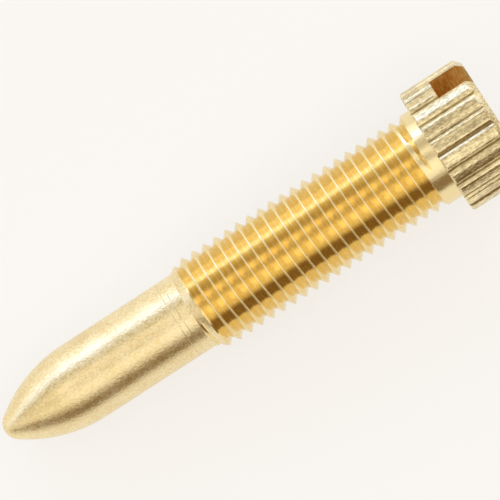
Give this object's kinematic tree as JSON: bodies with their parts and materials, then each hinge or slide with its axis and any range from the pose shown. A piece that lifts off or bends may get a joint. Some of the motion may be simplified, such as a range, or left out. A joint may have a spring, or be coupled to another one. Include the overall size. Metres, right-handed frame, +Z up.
{
  "type": "idle screw",
  "caption": "Brass idle adjusting screw with a blunt round nose, a fine-threaded shank and a fluted finger head slotted for a screwdriver, lying on its side.",
  "frame": {"origin": "under the middle of the screw, on the surface that it lies on", "axes": "+X along the screw from nose to head, +Z up from the surface"},
  "size_m": [0.0338, 0.0078, 0.0081],
  "materials": {
    "brass": "turned, bright with a satin nose"
  },
  "bodies": {
    "root": {"idle_screw": "brass"}
  },
  "joints": []
}
